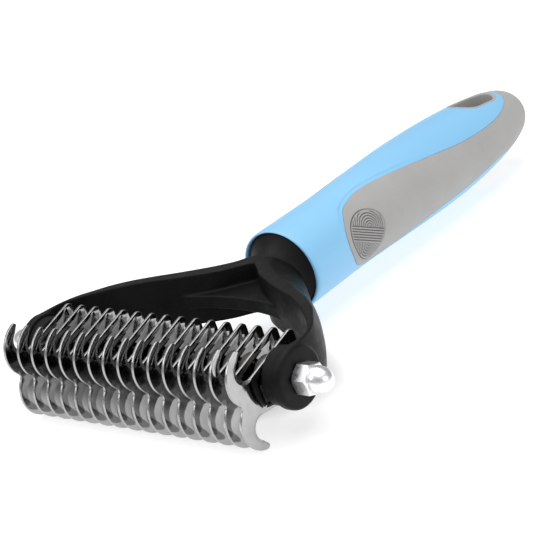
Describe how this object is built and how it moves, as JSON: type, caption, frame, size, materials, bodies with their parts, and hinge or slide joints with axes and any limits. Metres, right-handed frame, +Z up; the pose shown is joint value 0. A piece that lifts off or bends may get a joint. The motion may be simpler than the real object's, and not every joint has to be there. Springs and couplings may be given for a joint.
{
  "type": "undercoat rake",
  "caption": "Hand grooming rake: a pack of double-hooked blades clamped across a black fork, on a blue and grey handle with a hanging hole.",
  "frame": {"origin": "bottom centre of the bounding box", "axes": "+Y along the handle from blades to butt, +X along the blade rod to the right arm, +Z up"},
  "size_m": [0.1176, 0.1936, 0.0292],
  "materials": {
    "black_plastic": "satin, moulded",
    "blue_plastic": "satin, moulded",
    "grey_soft_plastic": "matt, soft overmould",
    "blade_steel": "polished stainless steel",
    "bright_zinc": "bright zinc plate"
  },
  "bodies": {
    "handle_and_fork": {"fork": "black_plastic", "handle_core": "blue_plastic", "grip_overmould": "grey_soft_plastic", "threaded_rod": "bright_zinc", "right_end_collar": "black_plastic", "left_end_collar": "black_plastic"},
    "blade_pack": {"blade_01": "blade_steel", "blade_02": "blade_steel", "blade_03": "blade_steel", "blade_04": "blade_steel", "blade_05": "blade_steel", "blade_06": "blade_steel", "blade_07": "blade_steel", "blade_08": "blade_steel", "blade_09": "blade_steel", "blade_10": "blade_steel", "blade_11": "blade_steel", "blade_12": "blade_steel", "blade_13": "blade_steel", "blade_14": "blade_steel", "blade_15": "blade_steel", "blade_16": "blade_steel", "spacer_01": "black_plastic", "spacer_02": "black_plastic", "spacer_03": "black_plastic", "spacer_04": "black_plastic", "spacer_05": "black_plastic", "spacer_06": "black_plastic", "spacer_07": "black_plastic", "spacer_08": "black_plastic", "spacer_09": "black_plastic", "spacer_10": "black_plastic", "spacer_11": "black_plastic", "spacer_12": "black_plastic", "spacer_13": "black_plastic", "spacer_14": "black_plastic", "spacer_15": "black_plastic"},
    "right_cap_nut": {"right_cap_nut": "bright_zinc"},
    "left_cap_nut": {"left_cap_nut": "bright_zinc"}
  },
  "joints": [
    {"name": "blade_pack_turn", "type": "hinge", "parent": "handle_and_fork", "child": "blade_pack", "pos_m": [0, -0.07724, 0.01556], "axis": [1, 0, 0], "range_deg": [-15, 15]},
    {"name": "right_cap_nut_turn", "type": "hinge", "parent": "handle_and_fork", "child": "right_cap_nut", "pos_m": [0.0535, -0.07724, 0.01556], "axis": [1, 0, 0], "range_deg": [0, 720]},
    {"name": "left_cap_nut_turn", "type": "hinge", "parent": "handle_and_fork", "child": "left_cap_nut", "pos_m": [-0.0535, -0.07724, 0.01556], "axis": [-1, 0, 0], "range_deg": [0, 720]}
  ]
}
